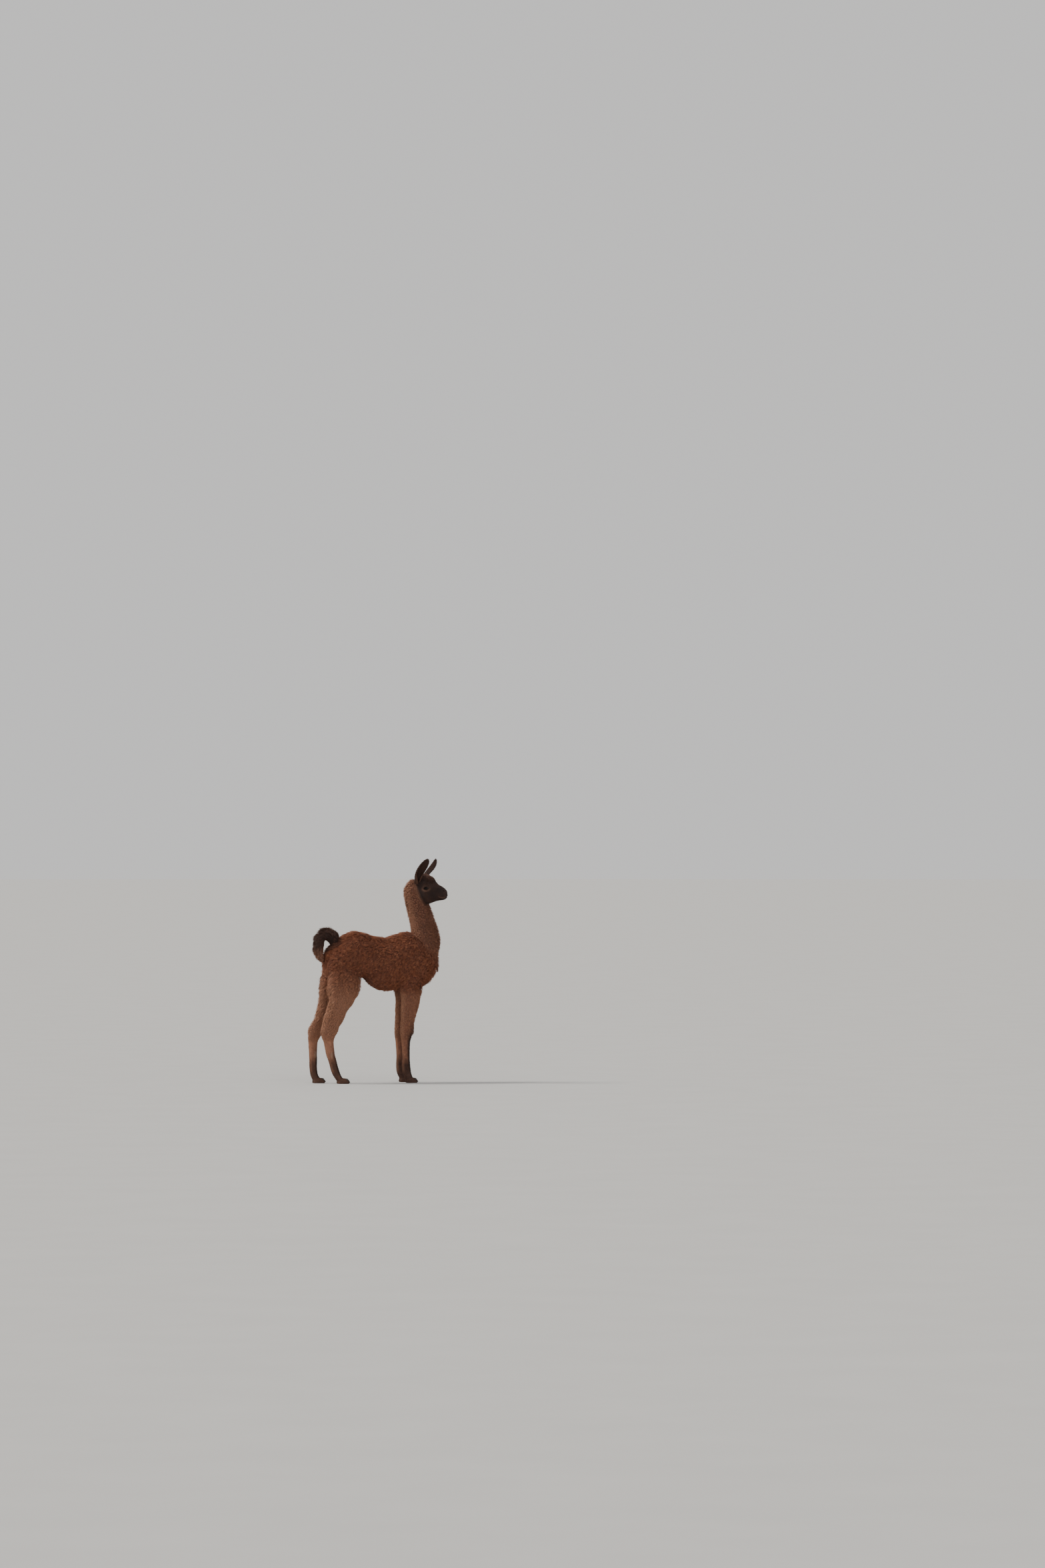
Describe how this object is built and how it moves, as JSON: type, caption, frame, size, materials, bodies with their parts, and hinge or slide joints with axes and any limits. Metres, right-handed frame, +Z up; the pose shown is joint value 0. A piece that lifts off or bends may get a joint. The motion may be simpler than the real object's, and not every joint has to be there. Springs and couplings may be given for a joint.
{
  "type": "young llama",
  "caption": "Life-size still model of a brown young llama standing, near-black face turned to its right, bushy dark tail arched up and over behind.",
  "frame": {"origin": "on the floor under the middle of the model's box", "axes": "+X is the way the body faces, +Y is its left side, +Z is up"},
  "size_m": [0.721, 0.2334, 1.1733],
  "materials": {
    "coat_body": "soft dense reddish brown wool in short locks",
    "coat_neck": "close nubbly grey-brown wool, paler along the nape",
    "coat_face": "short near-black velvet hair, frosted on the crown",
    "coat_tail": "bushy dark locks with paler tips",
    "coat_leg": "short brown hair, pale at the rear edge",
    "coat_shin": "short dark hair over the pastern and toes",
    "nail_horn": "dull dark grey horn",
    "eye": "wet glossy dark brown eye"
  },
  "bodies": {
    "root": {"head": "coat_face", "neck": "coat_neck", "torso": "coat_body", "tail_root": "coat_tail", "tail_arch": "coat_tail", "tail_tip": "coat_tail", "ear_left": "coat_face", "eye_left": "eye", "ear_right": "coat_face", "eye_right": "eye", "fore_left_forearm": "coat_leg", "fore_left_cannon": "coat_leg", "fore_left_foot": "coat_shin", "hind_left_thigh": "coat_body", "hind_left_gaskin": "coat_leg", "hind_left_cannon": "coat_leg", "hind_left_foot": "coat_shin", "fore_left_nail_1": "nail_horn", "fore_left_nail_2": "nail_horn", "hind_left_nail_1": "nail_horn", "hind_left_nail_2": "nail_horn", "fore_right_forearm": "coat_leg", "fore_right_cannon": "coat_leg", "fore_right_foot": "coat_shin", "hind_right_thigh": "coat_body", "hind_right_gaskin": "coat_leg", "hind_right_cannon": "coat_leg", "hind_right_foot": "coat_shin", "fore_right_nail_1": "nail_horn", "fore_right_nail_2": "nail_horn", "hind_right_nail_1": "nail_horn", "hind_right_nail_2": "nail_horn"}
  },
  "joints": []
}
